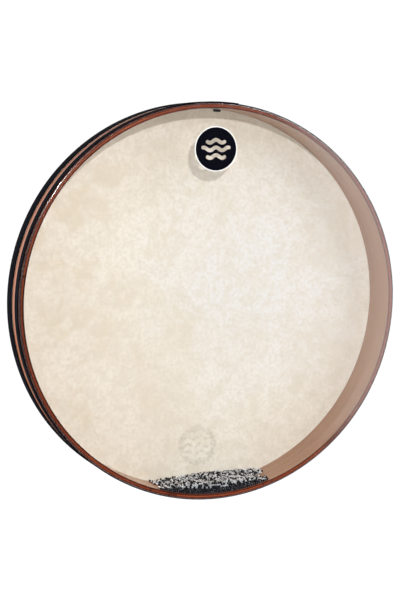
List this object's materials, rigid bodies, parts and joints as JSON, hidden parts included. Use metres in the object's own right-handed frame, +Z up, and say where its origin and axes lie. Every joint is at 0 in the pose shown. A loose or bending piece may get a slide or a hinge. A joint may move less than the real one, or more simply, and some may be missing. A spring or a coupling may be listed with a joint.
{
  "type": "sea drum",
  "caption": "Shallow round frame drum with a goatskin head behind, a clear film head in front and loose steel beads between them.",
  "frame": {"origin": "middle of the drum, on its axis and halfway through its depth", "axes": "the drum stands upright: +Y along its axis towards the goatskin head, -Y towards the film head, +Z up through the vent and label, +X to the right seen from the film side"},
  "size_m": [0.5599, 0.0663, 0.5609],
  "materials": {
    "stained_wood": "glossy dark red-brown stain and lacquer over bent plywood",
    "core_wood": "stained ply, a lighter orange brown in its cut edge",
    "goatskin": "natural translucent goatskin, matt, with faint mottling",
    "clear_film": "clear glossy polyester film",
    "black_tape": "black woven cloth tape with a slight sheen",
    "vent_metal": "dark plated metal",
    "washer_metal": "plain bright metal",
    "label_print": "black printed sticker with a white border and a plain wave sign",
    "steel_beads": "small polished steel balls"
  },
  "bodies": {
    "drum": {"shell_outer_ply": "stained_wood", "shell_core_ply": "core_wood", "shell_inner_ply": "stained_wood", "rear_skin": "goatskin", "rear_skin_fold": "goatskin", "front_film": "clear_film", "front_film_fold": "clear_film", "rear_tape": "black_tape", "front_tape": "black_tape", "vent_eyelet": "vent_metal", "vent_washer": "washer_metal", "label": "label_print"},
    "beads": {"bead_pile": "steel_beads"}
  },
  "joints": [
    {"name": "bead_sweep", "type": "hinge", "parent": "drum", "child": "beads", "pos_m": [0, 0, 0], "axis": [0, 1, 0], "continuous": true}
  ]
}
